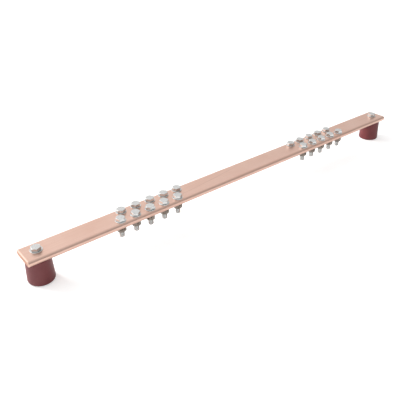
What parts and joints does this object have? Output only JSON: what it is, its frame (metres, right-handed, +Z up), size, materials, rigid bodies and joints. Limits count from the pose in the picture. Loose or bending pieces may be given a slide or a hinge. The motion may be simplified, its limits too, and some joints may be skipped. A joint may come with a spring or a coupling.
{
  "type": "rack grounding busbar",
  "caption": "Flat copper earthing bar on two conical standoff insulators, with two staggered groups of hex bolts and nuts that clamp earth leads in a server rack.",
  "frame": {"origin": "midway between the two insulators, on the plane that their bases stand on", "axes": "+X along the bar towards its right end, +Y across the bar towards the back row, +Z up through the bar towards the bolt heads"},
  "size_m": [0.49, 0.025, 0.0337],
  "materials": {
    "copper": "bare copper, finely brushed along its length",
    "moulding": "satin maroon thermoset moulding",
    "insert_brass": "turned brass",
    "zinc_steel": "bright zinc plate"
  },
  "bodies": {
    "root": {"busbar": "copper", "insulator_left": "moulding", "insulator_right": "moulding", "top_insert_left": "insert_brass", "top_insert_right": "insert_brass", "base_insert_left": "insert_brass", "base_insert_right": "insert_brass", "end_washer_left": "zinc_steel", "end_washer_right": "zinc_steel", "end_bolt_left": "zinc_steel", "end_bolt_right": "zinc_steel", "washers_left_front": "zinc_steel", "washers_left_back": "zinc_steel", "washers_right_front": "zinc_steel", "washers_right_back": "zinc_steel", "bolt_left_front_1": "zinc_steel", "bolt_left_front_2": "zinc_steel", "bolt_left_front_3": "zinc_steel", "bolt_left_front_4": "zinc_steel", "bolt_left_front_5": "zinc_steel", "bolt_left_back_1": "zinc_steel", "bolt_left_back_2": "zinc_steel", "bolt_left_back_3": "zinc_steel", "bolt_left_back_4": "zinc_steel", "bolt_left_back_5": "zinc_steel", "bolt_right_front_1": "zinc_steel", "bolt_right_front_2": "zinc_steel", "bolt_right_front_3": "zinc_steel", "bolt_right_front_4": "zinc_steel", "bolt_right_front_5": "zinc_steel", "bolt_right_back_1": "zinc_steel", "bolt_right_back_2": "zinc_steel", "bolt_right_back_3": "zinc_steel", "bolt_right_back_4": "zinc_steel", "bolt_right_back_5": "zinc_steel", "nut_left_front_1": "zinc_steel", "nut_left_front_2": "zinc_steel", "nut_left_front_3": "zinc_steel", "nut_left_front_4": "zinc_steel", "nut_left_front_5": "zinc_steel", "nut_left_back_1": "zinc_steel", "nut_left_back_2": "zinc_steel", "nut_left_back_3": "zinc_steel", "nut_left_back_4": "zinc_steel", "nut_left_back_5": "zinc_steel", "nut_right_front_1": "zinc_steel", "nut_right_front_2": "zinc_steel", "nut_right_front_3": "zinc_steel", "nut_right_front_4": "zinc_steel", "nut_right_front_5": "zinc_steel", "nut_right_back_1": "zinc_steel", "nut_right_back_2": "zinc_steel", "nut_right_back_3": "zinc_steel", "nut_right_back_4": "zinc_steel", "nut_right_back_5": "zinc_steel"}
  },
  "joints": []
}
